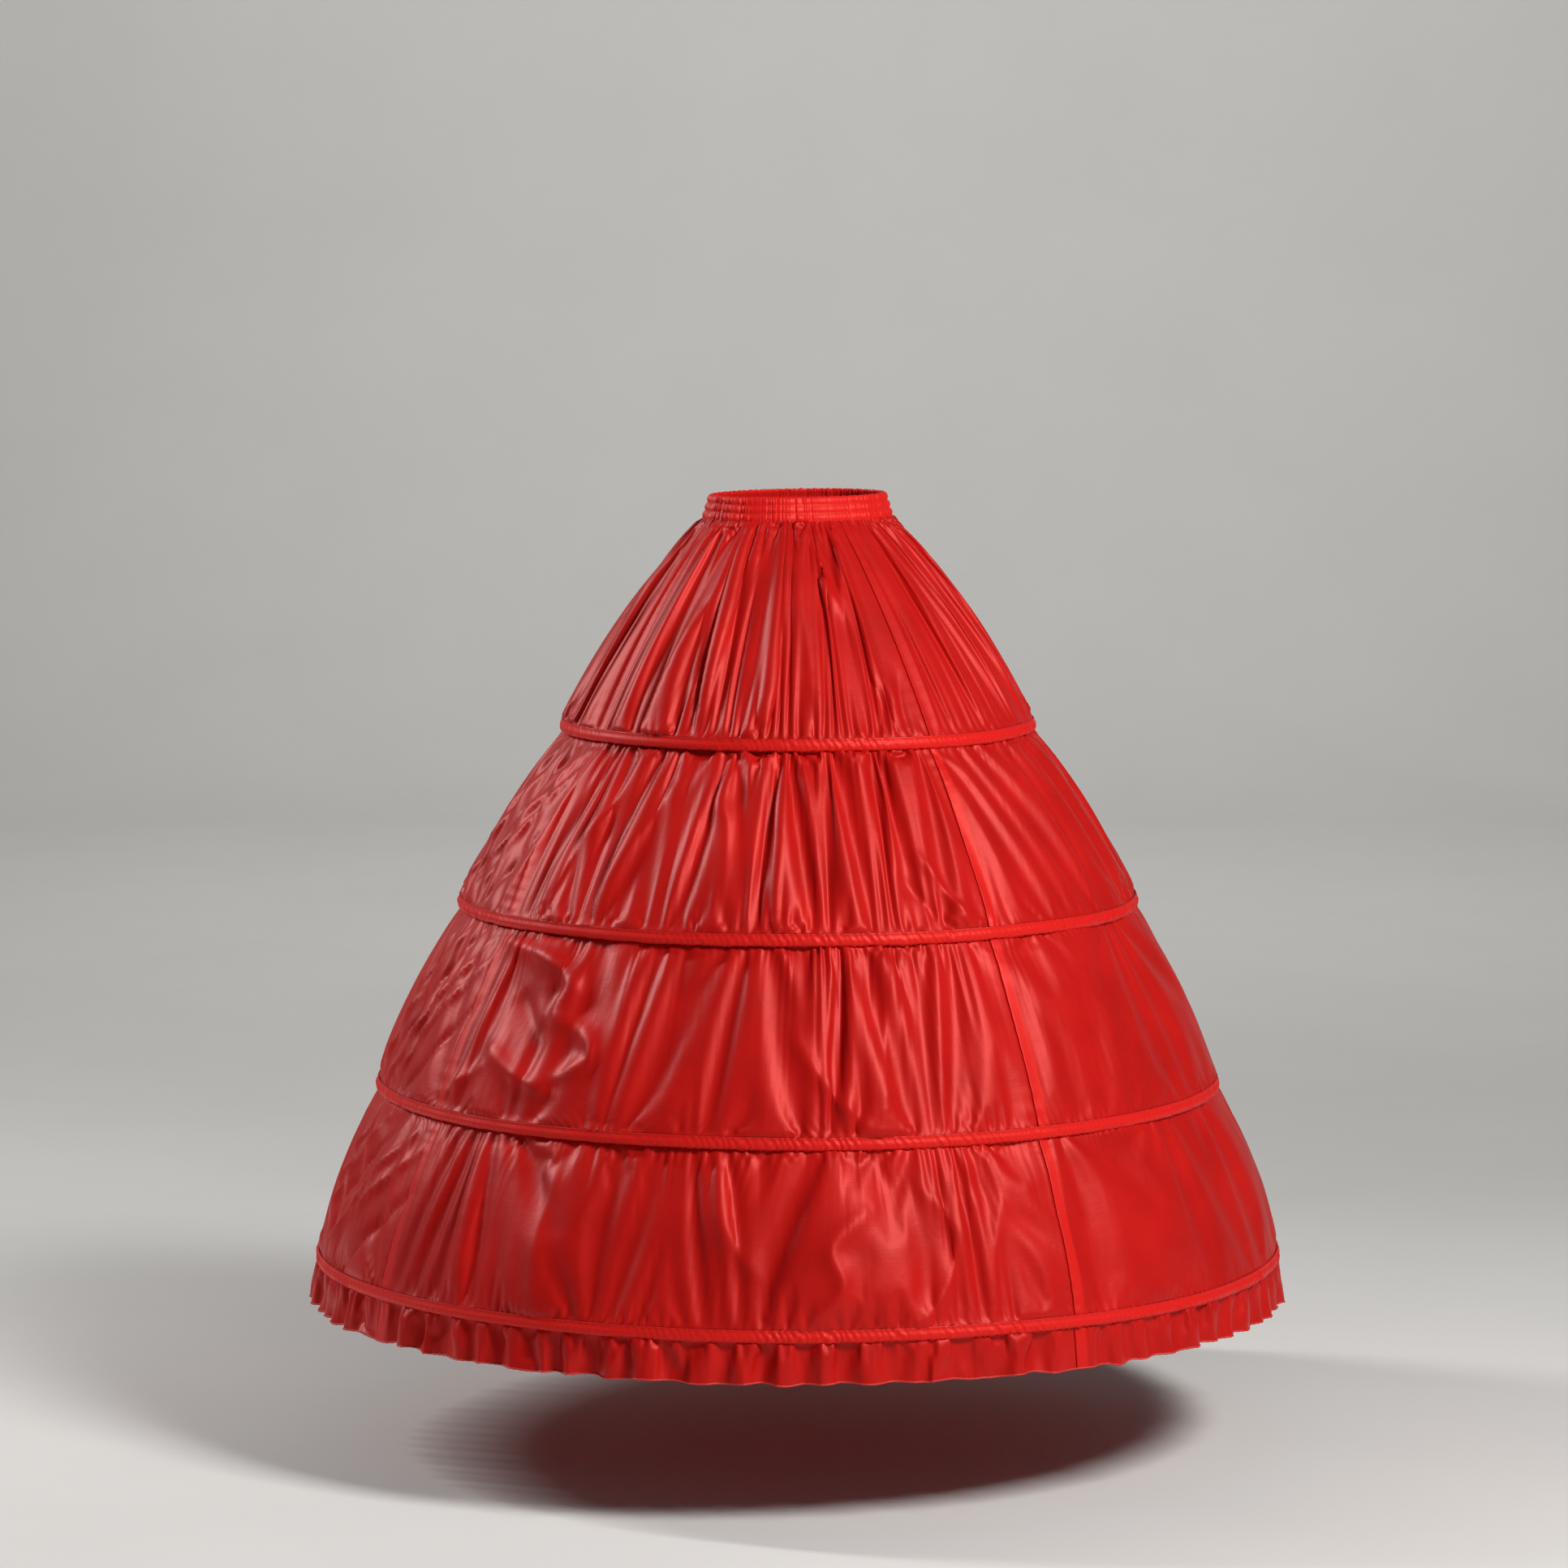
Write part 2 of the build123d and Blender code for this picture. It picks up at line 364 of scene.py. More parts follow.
def smooth_place(tier, angle, down, bulge, tuck):
    """Points on the tier's smooth surface, and how far it leans out. `down` runs from 0 at the
    top to 1 at the foot, and `tuck` draws the top row in under the casing above."""
    top_radius, foot_radius, top_z, foot_z = tier_ends(tier)
    if tier == 1:
        half_x = band_foot_x + (foot_radius - band_foot_x) * down
        half_y = band_foot_y + (foot_radius - band_foot_y) * down
        radius = half_x * half_y / np.sqrt((half_y * np.cos(angle)) ** 2
                                           + (half_x * np.sin(angle)) ** 2)
    else:
        radius = (top_radius - tuck) + (foot_radius - top_radius + tuck) * down
    lean = math.atan2(foot_radius - top_radius, top_z - foot_z)
    swell = 4 * bulge * down * (1 - down)
    radius = radius + swell * math.cos(lean)
    height = top_z + (foot_z - top_z) * down + swell * math.sin(lean)
    return np.stack([radius * np.cos(angle), radius * np.sin(angle), height], -1), lean


# %% [markdown]
# The rows' cut length decides the folds: 1.0 would be a tight drum, and 1.5 a dense gather.
# `top` and `foot` say how much longer the cloth is than its seam there, and `drift` gives, by
# angle in degrees, how much of that fullness lies there. `down_spare` adds a little spare height,
# which crumples, and `bend` is the stiffness. `waves` and `ripple` are the number and height of
# the faint waves that the folds grow from. `wrinkles` are the wide puckers under the top seam:
# their pitch, reach and height in millimetres.

# %% Cut sizes of the five rings
TIERS = {
    1: dict(top=1.29, foot=1.05, down_spare=1.005, bulge=9 * MM, seed=11, tuck=0, spacing=6.5 * MM,
            bend=1.6, waves=(6, 34), ripple=0.9 * MM, wrinkles=(15, 50, 0.3),
            drift={-180: 1.2, -150: 1.0, -123: 0.9, -100: 1.1, -60: 0.7, 0: 0.8, 90: 1.0}),
    2: dict(top=1.085, foot=1.035, down_spare=1.007, bulge=6.5 * MM, seed=5, tuck=6 * MM,
            spacing=7.5 * MM, bend=1.5, waves=(6, 40), ripple=0.9 * MM, wrinkles=(19, 70, 0.8),
            drift={-180: 1.2, -165: 0.8, -140: 0.7, -122: 1.4, -97: 1.4, -82: 0.35, -40: 0.4,
                   30: 0.9, 90: 1.0, 140: 0.9, 152: 0.4, 176: 0.4}),
    3: dict(top=1.045, foot=1.025, down_spare=1.008, bulge=6.5 * MM, seed=7, tuck=5 * MM,
            spacing=7.5 * MM, bend=2.0, waves=(5, 28), ripple=0.9 * MM, wrinkles=(16, 80, 1.1),
            drift={-180: 0.8, -160: 0.3, -132: 0.4, -118: 1.5, -97: 1.5, -82: 0.2, -40: 0.3,
                   30: 0.9, 90: 1.0, 140: 0.9, 152: 0.3, 176: 0.3}),
    4: dict(top=1.03, foot=1.02, down_spare=1.007, bulge=8 * MM, seed=9, tuck=4 * MM,
            spacing=7.5 * MM, bend=2.5, waves=(5, 24), ripple=0.8 * MM, wrinkles=(21, 50, 0.8),
            drift={-180: 0.9, -165: 0.9, -140: 0.8, -115: 1.3, -97: 1.1, -82: 0.2, -40: 0.3,
                   30: 0.9, 90: 1.0, 140: 0.9, 152: 0.3, 176: 0.3}),
    RUFFLE: dict(
        top=1.07, foot=1.07, down_spare=1.0, bulge=0, seed=4, tuck=0, spacing=7.5 * MM,
        bend=0.5, waves=(20, 90), ripple=0.62 * MM, wrinkles=(14, 30, 0.6),
        drift={-180: 1.0, -120: 1.0, -80: 0.8, 0: 0.8, 90: 1.0}),
}
GATHER_FRAMES = 12
SETTLED_FRAME = 26


def round_the_skirt(knots, angle):
    """Reads a value given at a few angles, in degrees, at every angle."""
    degrees = sorted(knots)
    values = [knots[d] for d in degrees]
    return np.interp(np.degrees(angle), degrees + [degrees[0] + 360], values + [values[0]])


# %% [markdown]
# Each ring is laid out twice, with the same points: as sewn, on the tier's surface, and at its cut
# size, wider, with faint random waves. A perfectly round ring would have no reason to fold in one
# place more than another, and the waves give it one.

# %% Lay out a ring at its cut size and as sewn
FAINT_WAVES = 80
WAVE_TWIST = 2.5
TUCK_ROUND = {-180: 1.0, -135: 1.0, -118: 0.3, -40: 0.2, 60: 0.6}


def ring_shapes(tier, cut):
    """The ring as sewn, the ring at its cut size, and how far the tier leans out."""
    top_radius, foot_radius, top_z, foot_z = tier_ends(tier)
    widest = foot_radius * cut["foot"]
    slant = math.hypot(foot_radius - top_radius, top_z - foot_z)
    columns = 4 * round(TURN * widest / cut["spacing"] / 4)
    rows = round(slant / cut["spacing"]) + 1
    angle = np.linspace(-math.pi, math.pi, columns, endpoint=False)
    angles, down = np.meshgrid(angle, np.linspace(0, 1, rows))
    tuck = cut["tuck"] * round_the_skirt(TUCK_ROUND, angles)
    sewn, lean = smooth_place(tier, angles, down, cut["bulge"], tuck)
    flat = np.zeros_like(sewn)
    rng = np.random.default_rng(cut["seed"])
    ripple = np.zeros_like(down)
    for _ in range(FAINT_WAVES):
        waves = rng.integers(*cut["waves"])
        ripple += rng.normal() * cut["ripple"] * np.cos(waves * angles + rng.random() * TURN
                                                   + rng.normal() * WAVE_TWIST * down)
    drift = round_the_skirt(cut["drift"], angle)
    ripple = ripple * np.clip(drift, 0.15, 1.3)
    row_drop = slant / (rows - 1) * cut["down_spare"]
    height = 0.0
    last_radius = None
    for row in range(rows):
        share = row / (rows - 1)
        fullness = 1 + (cut["top"] + (cut["foot"] - cut["top"]) * share - 1) * drift
        steps = fullness * np.hypot(sewn[row, :, 0], sewn[row, :, 1])
        round_it = np.cumsum(steps) / steps.sum() * TURN
        round_it += -math.pi - round_it[0]
        radius = steps.mean()
        if last_radius is not None:
            height -= math.sqrt(max(row_drop ** 2 - (radius - last_radius) ** 2,
                                    (0.1 * row_drop) ** 2))
        last_radius = radius
        flat[row, :, 0] = (radius + ripple[row]) * np.cos(round_it)
        flat[row, :, 1] = (radius + ripple[row]) * np.sin(round_it)
        flat[row, :, 2] = height
    flat[..., 2] += sewn[..., 2].mean() - flat[..., 2].mean()
    return sewn, flat, lean


# %% [markdown]
# A shape key called "cut" starts at 1 and falls to 0, and the sewn rows follow it because they are
# pinned. The rest of the cloth is free and has to fold. Gravity is off for the tiers, which are
# held at both rows, and on for the ruffle, which hangs from its top row alone.

# %% Gather it with Blender's Cloth
def ring_faces(rows, columns):
    index = np.arange(rows * columns).reshape(rows, columns)
    beside = np.roll(index, -1, 1)
    return np.stack([index[:-1], index[1:], beside[1:], beside[:-1]], -1).reshape(-1, 4)


def gather(tier, cut, sewn, flat):
    rows, columns = sewn.shape[:2]
    mesh = bpy.data.meshes.new("gathering")
    mesh.from_pydata(sewn.reshape(-1, 3).tolist(), [], ring_faces(rows, columns).tolist())
    ring = bpy.data.objects.new("gathering", mesh)
    bpy.context.scene.collection.objects.link(ring)
    ring.shape_key_add(name="sewn")
    cut_key = ring.shape_key_add(name="cut")
    cut_key.data.foreach_set("co", flat.ravel())
    cut_key.value = 1
    cut_key.keyframe_insert("value", frame=1)
    cut_key.value = 0
    cut_key.keyframe_insert("value", frame=GATHER_FRAMES)
    sewn_rows = [0] if tier == RUFFLE else [0, rows - 1]
    held = [row * columns + i for row in sewn_rows for i in range(columns)]
    ring.vertex_groups.new(name="seam").add(held, 1.0, "REPLACE")
    cloth = ring.modifiers.new("cloth", "CLOTH")
    feel = cloth.settings
    feel.quality = 5
    feel.mass = 0.1
    feel.tension_stiffness = feel.compression_stiffness = 15
    feel.shear_stiffness = 5
    feel.bending_stiffness = cut["bend"]
    feel.tension_damping = feel.compression_damping = feel.shear_damping = 5
    feel.air_damping = 5
    feel.effector_weights.gravity = 1.0 if tier == RUFFLE else 0.0
    feel.vertex_group_mass = "seam"
    cloth.collision_settings.use_collision = False
    cloth.point_cache.frame_start = 1
    cloth.point_cache.frame_end = SETTLED_FRAME
    for number in range(1, SETTLED_FRAME + 1):
        bpy.context.scene.frame_set(number)
    settled = ring.evaluated_get(bpy.context.evaluated_depsgraph_get()).to_mesh()
    places = np.zeros(rows * columns * 3)
    settled.vertices.foreach_get("co", places)
    bpy.data.objects.remove(ring)
    bpy.data.meshes.remove(mesh)
    bpy.context.scene.frame_set(1)
    return places.reshape(rows, columns, 3)


# %% [markdown]
# The simulated ring is coarse and may drift from the tier's true outline. Its folds are kept and
# its average is put back on the smooth surface, the folds fade at the four upright seams, and
# the grid is made finer with cubic curves, closest near the sewn edges where the puckers are.


# %% Tidy and refine a gathered ring
DEEPEST_FOLD = 12 * MM
PROUDEST_FOLD = 11 * MM
SEAM_START, SEAM_END = 4 * MM, 45 * MM      # the folds grow between these distances from a seam
SEAM_SHARE = 0.25                           # what is left of them at the seam itself


def outward(lean, angles):
    return np.stack([math.cos(lean) * np.cos(angles), math.cos(lean) * np.sin(angles),
                     np.full_like(angles, math.sin(lean))], -1)


def from_seam(angles):
    """Angle from the nearest upright seam."""
    quarter = TURN / 4
    return np.abs((angles + quarter / 2) % quarter - quarter / 2)


def soft_step(value, start, end):
    share = np.clip((value - start) / (end - start), 0, 1)
    return share * share * (3 - 2 * share)


def settle_on_outline(places, sewn, lean):
    """Takes out the ring's slow drift, limits its folds and calms them at the seams."""
    rows, columns = places.shape[:2]
    angles = np.broadcast_to(np.linspace(-math.pi, math.pi, columns, endpoint=False),
                             (rows, columns))
    out = outward(lean, angles)
    move = places - sewn
    proud = (move * out).sum(-1)
    wide = columns // 8
    window = np.hanning(2 * wide + 1)
    window /= window.sum()
    trend = np.stack([np.convolve(np.r_[row[-wide:], row, row[:wide]], window, "valid")
                      for row in proud])
    kept = proud - trend
    kept = np.where(kept > 0, PROUDEST_FOLD * np.tanh(kept / PROUDEST_FOLD),
                    DEEPEST_FOLD * np.tanh(kept / DEEPEST_FOLD))
    move = move + (kept - proud)[..., None] * out
    radius = np.hypot(sewn[..., 0], sewn[..., 1])
    free = SEAM_SHARE + (1 - SEAM_SHARE) * soft_step(from_seam(angles) * radius, SEAM_START,
                                                     SEAM_END)
    return sewn + move * free[..., None]


def cubic(values, at):
    """Reads rows of points at fractional places along the first axis, on smooth curves."""
    first = np.clip(np.floor(at).astype(int), 0, len(values) - 2)
    t = (at - first)[:, None, None]
    before = values[np.maximum(first - 1, 0)]
    here, after = values[first], values[first + 1]
    beyond = values[np.minimum(first + 2, len(values) - 1)]
    return 0.5 * (2 * here + (after - before) * t + (2 * before - 5 * here + 4 * after - beyond)
                  * t ** 2 + (3 * here - before - 3 * after + beyond) * t ** 3)


def refine(places, down_at, finer):
    """A finer ring: `finer` times the columns, and rows at the shares given."""
    rows, columns = places.shape[:2]
    down = cubic(places, down_at * (rows - 1))
    wrapped = np.concatenate([down[:, -2:], down, down[:, :3]], 1).transpose(1, 0, 2)
    at = 2 + np.arange(columns * finer) / finer
    return cubic(wrapped, at).transpose(1, 0, 2)


# %% [markdown]
# ## Puckers
# A machine stitch through gathered taffeta draws it into small slanting puckers, about 10 mm
# apart, which die out a finger's width from the seam. They are finer than the simulation's grid,
# so they are added as ridges on the finer one. They come and go round the skirt, so their
# strength follows slow random waves.


# %% Random waves and puckers
def slow_waves(rng, angles, lowest, highest, count=24):
    """Smooth random waves round the skirt, between about -1 and 1."""
    total = np.zeros_like(angles)
    for _ in range(count):
        total += rng.normal() * np.cos(rng.integers(lowest, highest) * angles
                                       + rng.random() * TURN)
    return total / math.sqrt(count)


def pucker(rng, angles, radius, from_edge, pitch, reach, height):
    """Ridges that start at a stitched edge and fade within `reach` of it."""
    phase = angles * radius.mean() / pitch * TURN + 2.2 * slow_waves(rng, angles, 20, 90)
    slant = 2.0 * slow_waves(rng, angles, 3, 14)
    strength = np.clip(0.55 + 0.6 * slow_waves(rng, angles, 6, 40), 0.05, 1.4)
    ridge = np.cos(phase + slant * from_edge / reach * 2)
    ridge = ridge + 0.35 * np.cos(2.3 * phase + 1.7 * slant * from_edge / reach)
    return height * strength * ridge * np.exp(-from_edge / reach)


# %% [markdown]
# ## Folds laid by hand
# ## Laid folds
# soft ridge along a short path of (angle, share of the tier's depth), with a width and a height
# in millimetres; a negative height is a valley. The path is drawn as a smooth line of its points.

# %% Laid folds
SIDE_FAN = [
    ([(151, 0.97), (158, 0.55), (166, 0.10)], 7, 3.8),
    ([(156, 0.95), (163, 0.50), (172, 0.06)], 6, -3.4),
    ([(160, 0.97), (167, 0.55), (177, 0.12)], 7, 4.0),
    ([(165, 0.90), (172, 0.50), (180, 0.20)], 6, 3.4),
    ([(169, 0.97), (175, 0.70), (181, 0.45)], 6, -3.2),
    ([(154, 0.60), (158, 0.35), (161, 0.08)], 7, 3.6),
]
LAID_FOLDS = {
    1: [
        ([(-117, 0.03), (-115, 0.18), (-112, 0.34), (-108, 0.43)], 9, 4.0),
        ([(-99, 0.03), (-103, 0.17), (-106, 0.32), (-108, 0.43)], 9, 4.0),
        ([(-111, 0.06), (-109, 0.22), (-107, 0.34)], 11, -3.5),
        ([(-152, 0.05), (-156, 0.35), (-160, 0.62), (-163, 0.95)], 13, 4.5),
        ([(-143, 0.10), (-146, 0.45), (-149, 0.90)], 16, 4.0),
        ([(-131, 0.05), (-130, 0.40), (-131, 0.75), (-134, 0.95)], 15, 4.0),
        ([(-124, 0.20), (-121, 0.55), (-119, 0.90)], 14, 3.5),
        ([(-99, 0.70), (-97, 0.83), (-99, 0.97)], 8, 3.0),
        ([(-103, 0.74), (-101, 0.86), (-103, 0.98)], 7, -3.0),
        ([(-93, 0.72), (-95, 0.86), (-96, 0.98)], 7, -2.5),
    ],
    2: SIDE_FAN + [
        ([(-176, 0.05), (-178, 0.4), (-183, 0.95)], 14, 4.5),
        ([(-160, 0.04), (-163, 0.35), (-168, 0.65), (-170, 0.97)], 15, 5.5),
        ([(-149, 0.20), (-155, 0.55), (-160, 0.97)], 18, 4.5),
        ([(-136, 0.06), (-139, 0.28), (-137, 0.45), (-136, 0.80)], 15, 5.0),
        ([(-128, 0.10), (-126, 0.50), (-127, 0.92)], 12, 3.5),
        ([(-101, 0.62), (-97, 0.80), (-94, 0.95)], 8, 4.0),
        ([(-104, 0.70), (-99, 0.95)], 8, -3.0),
        ([(-88, 0.20), (-85, 0.55), (-83, 0.90)], 12, 3.0),
    ],
    3: SIDE_FAN + [
        ([(-177, 0.10), (-167, 0.15), (-159, 0.28), (-162, 0.45)], 17, 8.0),
        ([(-162, 0.45), (-155, 0.52), (-153, 0.66), (-160, 0.78)], 15, 7.0),
        ([(-172, 0.62), (-166, 0.76), (-158, 0.84)], 13, 5.0),
        ([(-178, 0.90), (-171, 0.72)], 11, 4.0),
        ([(-170, 0.33), (-163, 0.58)], 18, -5.0),
        ([(-150, 0.05), (-149, 0.60), (-150, 0.97)], 26, 3.5),
        ([(-124, 0.45), (-120, 0.72), (-113, 0.97)], 15, 4.5),
        ([(-108, 0.05), (-110, 0.45), (-112, 0.95)], 13, 4.0),
    ],
    4: SIDE_FAN + [
        ([(-166, 0.05), (-166, 0.95)], 20, 4.0),
        ([(-154, 0.05), (-155, 0.55), (-154, 0.97)], 18, 3.5),
        ([(-133, 0.10), (-132, 0.45), (-128, 0.70)], 16, 4.5),
        ([(-122, 0.97), (-118, 0.78), (-119, 0.55), (-114, 0.35)], 14, 5.0),
        ([(-108, 0.25), (-104, 0.50), (-106, 0.80), (-109, 0.97)], 13, 4.5),
        ([(-97, 0.30), (-99, 0.60), (-100, 0.92)], 15, 4.0),
    ],
}


FOLD_REACH = 0.8
FOLD_CREST = 0.12            # how round a crest is; 0 would be a knife edge
FOLD_LIFT = 1.7


def laid_folds(tier, angles, down):
    """The height of every laid fold at each point of a ring."""
    top_radius, foot_radius, top_z, foot_z = tier_ends(tier)
    depth = math.hypot(foot_radius - top_radius, top_z - foot_z)
    radius = top_radius + (foot_radius - top_radius) * down
    total = np.zeros_like(angles)
    for path, width, height in LAID_FOLDS.get(tier, []):
        points = np.radians([p[0] for p in path]), np.array([p[1] for p in path])
        at = np.linspace(0, len(path) - 1, 12 * len(path))
        line = cubic(np.stack(points, -1)[:, None], at)[:, 0]
        nearest = np.full(angles.shape, np.inf)
        share = np.zeros_like(angles)
        for number, (turn, drop) in enumerate(line):
            around = (angles - turn + math.pi) % TURN - math.pi
            gap = np.hypot(around * radius, (down - drop) * depth)
            share = np.where(gap < nearest, number / (len(line) - 1), share)
            nearest = np.minimum(nearest, gap)
        taper = np.sqrt(np.clip(np.sin(math.pi * np.clip(share, 0.04, 0.96)), 0, 1))
        slope = np.sqrt((nearest / (FOLD_REACH * width * MM)) ** 2 + FOLD_CREST)
        total += FOLD_LIFT * height * MM * taper * np.exp(math.sqrt(FOLD_CREST) - slope)
    return total


def surface_normals(grid):
    along = np.roll(grid, -1, 1) - np.roll(grid, 1, 1)
    down = np.gradient(grid, axis=0)
    normal = np.cross(down, along)
    return normal / np.maximum(np.linalg.norm(normal, axis=-1, keepdims=True), 1e-12)


# %% [markdown]
# The steps above make one ring: laid out, gathered, settled and refined, then pushed in and out
# of its surface by the puckers, by ripples beside the seams and by the laid folds. A collar is
# added at the top, because the real cloth doesn't stop at its stitches.

# %% Make one finished ring of cloth
FINER = 3                    # columns for each simulated one
ROWS_FINER = 1.55
ROWS_TO_EDGES = 0.09         # draws the rows closer near both sewn edges
COLLAR_INSIDE = 2.3 * MM
BAND_TUCK = 1.2 * MM
BAND_COLLAR = (3 * MM,)
HOOP_COLLAR = (10 * MM, 5 * MM)


def finished_ring(tier):
    """The finished ring, the share of the way down of each row, and the ring at its cut size."""
    cut = TIERS[tier]
    sewn, flat, lean = ring_shapes(tier, cut)
    places = gather(tier, cut, sewn, flat)
    places = settle_on_outline(places, sewn, lean)
    even = np.linspace(0, 1, round(len(places) * ROWS_FINER))
    down_at = even + (ROWS_TO_EDGES if tier < RUFFLE else 0) * np.sin(-TURN * even)
    ring = refine(places, down_at, FINER)
    angles = np.broadcast_to(np.linspace(-math.pi, math.pi, ring.shape[1], endpoint=False),
                             ring.shape[:2])
    radius = np.hypot(ring[..., 0], ring[..., 1])
    slant = np.linalg.norm(ring[0, 0] - ring[-1, 0])
    rng = np.random.default_rng(100 + tier)
    from_top = down_at[:, None] * slant * np.ones_like(angles)
    from_foot = (1 - down_at)[:, None] * slant * np.ones_like(angles)
    pitch, reach, height = cut["wrinkles"]
    share = np.clip(round_the_skirt(cut["drift"], angles), 0.2, 1.6)
    lift = pucker(rng, angles, radius, from_top, pitch=11 * MM, reach=12 * MM, height=0.8 * MM)
    lift = lift + share * pucker(rng, angles, radius, from_top, pitch * MM, reach * MM, height * MM)
    if tier < RUFFLE:
        lift = lift + pucker(rng, angles, radius, from_foot, pitch=10 * MM, reach=12 * MM,
                             height=0.9 * MM)
        seam_gap = from_seam(angles) * radius
        side = np.sin(from_foot / (17 * MM) * TURN + 3 * slow_waves(rng, from_foot * 12, 1, 5))
        lift = lift + (0.15 if tier == 1 else 0.4) * MM * side * np.exp(-(seam_gap / (16 * MM)) ** 2)
    lift = lift + laid_folds(tier, angles, down_at[:, None] * np.ones_like(angles))
    ring = ring + lift[..., None] * surface_normals(ring)
    return add_collar(tier, ring, down_at, slant) + (flat,)


def add_collar(tier, ring, down_at, slant):
    """Rows above the tier's sewn row, which run up behind the casing or into the waistband."""
    angles = np.arctan2(ring[0, :, 1], ring[0, :, 0])
    rises = BAND_COLLAR if tier == 1 else HOOP_COLLAR
    rows = []
    for rise in rises:
        row = ring[0].copy()
        if tier == 1:
            row[:, :2] *= 1 - BAND_TUCK / np.hypot(row[:, 0], row[:, 1])[:, None]
        else:
            radius = hoop_radius[tier - 2] - COLLAR_INSIDE
            row = np.stack([radius * np.cos(angles), radius * np.sin(angles), row[:, 2]], -1)
        row[:, 2] += rise
        rows.append(row)
    above = [-rise / slant for rise in rises]
    return np.concatenate([np.array(rows), ring]), np.concatenate([above, down_at])


# %% [markdown]
# ## Panels and seams
# A ring is cut into four panels at the front, the back and the sides. Both allowances are
# pressed the same way, so each panel starts with its own allowance folded in behind it, and ends
# with an allowance that runs on behind its neighbour. The doubled strip shows as a brighter band.


# %% Cut a ring into panels
SEAM_ALLOWANCE = 13 * MM
FOLDED_IN = 0.7 * MM         # how far behind the surface a panel's own allowance lies
RUN_ON = 1.3 * MM            # and how far the allowance that runs on behind its neighbour
SEAM_DIPS = 0.2 * MM, 0.9 * MM
NEW_ALONG, NEW_DOWN = 3.1, 1.7      # each panel and tier reads the pattern somewhere else


def cloth_piece(name, grid, along, down, doubled, finish, all_round=False, tube=False):
    """A sheet from a grid of points, with its place on the cut cloth kept as attributes.
    `all_round` joins its last column to its first, and `tube` its last row to its first."""
    rows, columns = grid.shape[:2]
    index = np.arange(rows * columns).reshape(rows, columns)
    if tube:
        index = np.concatenate([index, index[:1]])
    if all_round:
        index = np.concatenate([index, index[:, :1]], 1)
    faces = np.stack([index[:-1, :-1], index[1:, :-1], index[1:, 1:], index[:-1, 1:]], -1)
    mesh = bpy.data.meshes.new(name)
    mesh.from_pydata(grid.reshape(-1, 3).tolist(), [], faces.reshape(-1, 4).tolist())
    mesh.polygons.foreach_set("use_smooth", [True] * len(mesh.polygons))
    place = mesh.attributes.new("cut_place", "FLOAT_VECTOR", "POINT")
    place.data.foreach_set("vector", np.stack([along, down, 0 * down], -1).ravel())
    layers = np.broadcast_to(doubled, (rows, columns)).ravel()
    mesh.attributes.new("doubled", "FLOAT", "POINT").data.foreach_set("value", layers)
    mesh.materials.append(finish)
    piece = bpy.data.objects.new(name, mesh)
    bpy.context.scene.collection.objects.link(piece)
    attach(piece, "root")
    return piece


def cut_size(tier, flat, number):
    """Width, length, area and upper edge of one panel as cut, measured on the ring before it is
    gathered."""
    quarter = flat.shape[1] // 4
    columns = np.arange(number * quarter, (number + 1) * quarter + 1) % flat.shape[1]
    panel = flat[:, columns]
    widths = np.linalg.norm(np.diff(panel, axis=1), axis=-1).sum(1) + 2 * SEAM_ALLOWANCE
    drops = np.linalg.norm(np.diff(panel, axis=0), axis=-1).mean(1)
    collar = max(BAND_COLLAR if tier == 1 else HOOP_COLLAR)
    area = ((widths[1:] + widths[:-1]) / 2 * drops).sum() + collar * widths[0]
    return widths.max(), drops.sum() + collar, area, widths[0]


def cut_panels(tier, ring, down_at, flat, label):
    """Makes a ring's four panels, and adds up the cut length of their upper edges."""
    columns = ring.shape[1]
    normal = surface_normals(ring)
    quarter = columns // 4
    slant = np.linalg.norm(ring[0, 0] - ring[-1, 0])
    mean_radius = np.hypot(ring[..., 0], ring[..., 1]).mean()
    fold = max(3, round(SEAM_ALLOWANCE / (TURN * mean_radius / columns)))
    pieces = []
    upper_edge = 0
    for number, side in enumerate(QUARTERS):
        tucked = np.arange(fold, 0, -1)
        body = np.arange(0, quarter + 1)
        tail = quarter + np.arange(1, fold + 1)
        order = (number * quarter + np.concatenate([tucked, body, tail])) % columns
        depth = np.concatenate([np.full(fold, FOLDED_IN), np.zeros(quarter + 1),
                                np.full(fold, RUN_ON)])
        depth[[fold, fold + quarter]] = SEAM_DIPS
        strip = np.zeros(len(order))
        strip[:2 * fold + 1] = 0.25 if tier == 1 else 0.8
        grid = ring[:, order] - depth[:, None] * normal[:, order]
        lengths = np.concatenate([-tucked, body, tail]) * TURN * mean_radius / columns
        along = np.broadcast_to(lengths + number * NEW_ALONG, grid.shape[:2])
        down = np.broadcast_to(down_at[:, None] * slant + tier * NEW_DOWN, grid.shape[:2])
        piece = cloth_piece(f"{label}_{side}_cloth", grid, along, down, strip, cloth_finish)
        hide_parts(f"{label}_{side}")
        width, length, area, top_edge = cut_size(tier, flat, number)
        upper_edge += top_edge - 2 * SEAM_ALLOWANCE
        print(piece.name, "cut", round(width, 3), "by", round(length, 3), "area", round(area, 4))
        pieces.append(piece)
    return pieces, upper_edge


# %% [markdown]
# Now every ring is made and cut, from the waist down. The rings are kept, because the hem follows
# the last one, and so is the length of each upper edge.

# %% Make every tier and the ruffle
rings = {}
upper_edges = {}
for tier in TIERS:
    label = f"tier_{tier}" if tier < RUFFLE else "ruffle"
    rings[tier], down_at, flat = finished_ring(tier)
    panels, upper_edges[tier] = cut_panels(tier, rings[tier], down_at, flat, label)
    print(label, "panels", len(panels), "faces each", len(panels[0].data.polygons))

